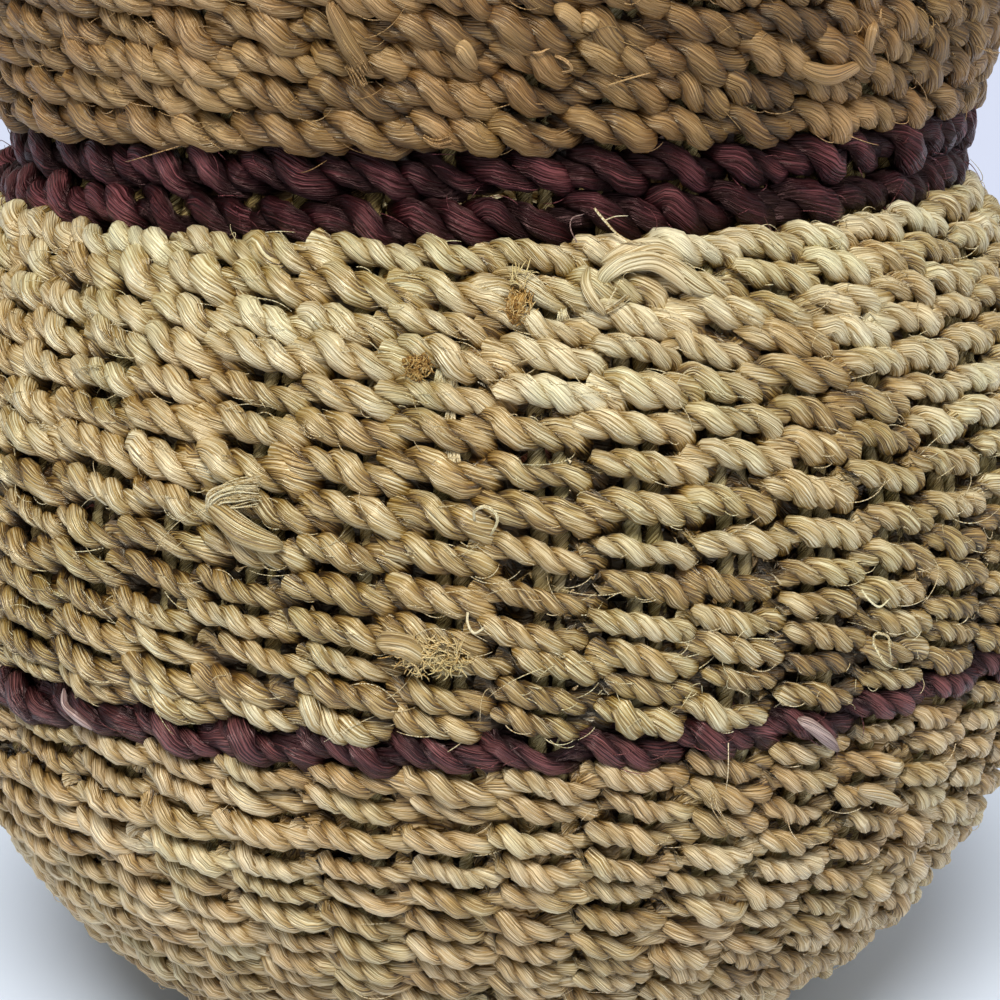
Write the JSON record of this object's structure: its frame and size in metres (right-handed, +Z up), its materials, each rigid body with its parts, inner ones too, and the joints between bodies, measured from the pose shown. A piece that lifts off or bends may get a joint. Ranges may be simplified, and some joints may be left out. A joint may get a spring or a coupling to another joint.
{
  "type": "kiondo basket",
  "caption": "Small round twined sisal basket with a drawn-in neck, a flared collar and dark maroon stripes.",
  "frame": {"origin": "middle of the flat underside, on the surface the basket stands on", "axes": "+Z up through the mouth; -Y is the side the picture shows, +X to its right"},
  "size_m": [0.16, 0.16, 0.1665],
  "materials": {
    "straw_sisal": "pale straw sisal cord, softly shiny fibres",
    "natural_sisal": "warm natural sisal cord",
    "tan_sisal": "tan dyed sisal cord, matt and a little fuzzy",
    "maroon_sisal": "dark maroon dyed sisal cord",
    "warp_string": "olive straw string, matt"
  },
  "bodies": {
    "root": {"base_weft_inner": "natural_sisal", "base_weft_outer": "natural_sisal", "belly_weft_inner": "straw_sisal", "belly_weft_outer": "straw_sisal", "collar_weft_inner": "tan_sisal", "collar_weft_outer": "tan_sisal", "lower_stripe_inner": "maroon_sisal", "lower_stripe_outer": "maroon_sisal", "lower_weft_inner": "natural_sisal", "lower_weft_outer": "natural_sisal", "neck_stripe_inner": "maroon_sisal", "neck_stripe_outer": "maroon_sisal", "rim_binding": "tan_sisal", "start_knot": "natural_sisal", "warp_01": "warp_string", "warp_02": "warp_string", "warp_03": "warp_string", "warp_04": "warp_string", "warp_05": "warp_string", "warp_06": "warp_string", "warp_07": "warp_string", "warp_08": "warp_string", "warp_09": "warp_string", "warp_10": "warp_string", "warp_11": "warp_string", "warp_12": "warp_string", "warp_13": "warp_string", "warp_14": "warp_string", "warp_15": "warp_string", "warp_16": "warp_string", "warp_17": "warp_string", "warp_18": "warp_string", "warp_19": "warp_string", "warp_20": "warp_string", "warp_21": "warp_string", "warp_22": "warp_string", "warp_23": "warp_string", "warp_24": "warp_string", "warp_25": "warp_string", "warp_26": "warp_string", "warp_27": "warp_string", "warp_28": "warp_string", "warp_29": "warp_string", "warp_30": "warp_string", "warp_31": "warp_string", "warp_32": "warp_string", "warp_33": "warp_string", "warp_34": "warp_string", "warp_35": "warp_string", "warp_36": "warp_string", "warp_37": "warp_string", "warp_38": "warp_string", "warp_39": "warp_string", "warp_40": "warp_string", "warp_41": "warp_string", "warp_42": "warp_string", "warp_43": "warp_string", "warp_44": "warp_string"}
  },
  "joints": []
}
